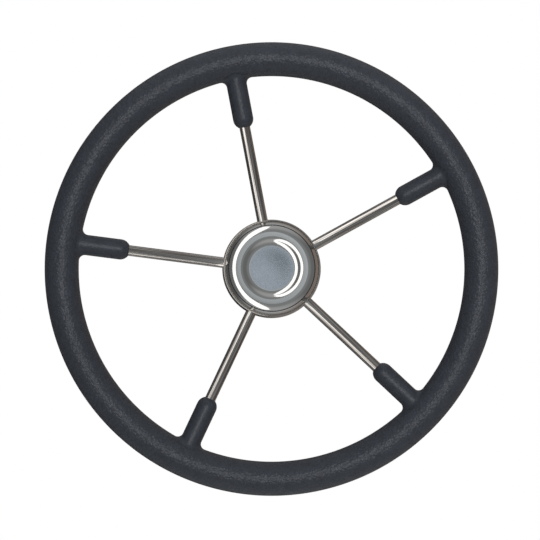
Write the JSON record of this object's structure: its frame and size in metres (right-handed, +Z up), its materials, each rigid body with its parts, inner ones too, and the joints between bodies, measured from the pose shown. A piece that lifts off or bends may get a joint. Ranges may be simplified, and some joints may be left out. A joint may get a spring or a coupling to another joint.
{
  "type": "boat steering wheel",
  "caption": "Boat steering wheel: round soft-grip rim on bent steel rod spokes with moulded sleeves, polished steel hub with a pull-off dished cap and a keyed tapered bore.",
  "frame": {"origin": "centre of the hub boss's back face, where the taper's mouth takes the helm shaft", "axes": "+Y along the helm shaft, away from the helmsman; the wheel's face looks along -Y; +Z is up with the wheel upright as pictured"},
  "size_m": [0.4, 0.0425, 0.4],
  "materials": {
    "grip_foam": "charcoal integral-skin polyurethane, fine moulded grain on the rim, smooth on the sleeves",
    "core_steel": "mild steel rod, plain",
    "turned_steel": "stainless steel, as turned",
    "polished_steel": "stainless steel, polished",
    "polished_cap": "stainless steel, polished shoulder and spun recess",
    "spoke_steel": "stainless steel rod, drawn and polished",
    "seal_rubber": "black rubber ring"
  },
  "bodies": {
    "wheel": {"rim_grip": "grip_foam", "rim_core": "core_steel", "hub_boss": "turned_steel", "hub_shell": "polished_steel", "spoke_1": "spoke_steel", "spoke_2": "spoke_steel", "spoke_3": "spoke_steel", "spoke_4": "spoke_steel", "spoke_5": "spoke_steel"},
    "cap": {"hub_cap": "polished_cap", "cap_seal": "seal_rubber"}
  },
  "joints": [
    {"name": "cap_pull", "type": "slide", "parent": "wheel", "child": "cap", "axis": [0, -1, 0], "range_m": [0, 0.03]}
  ]
}
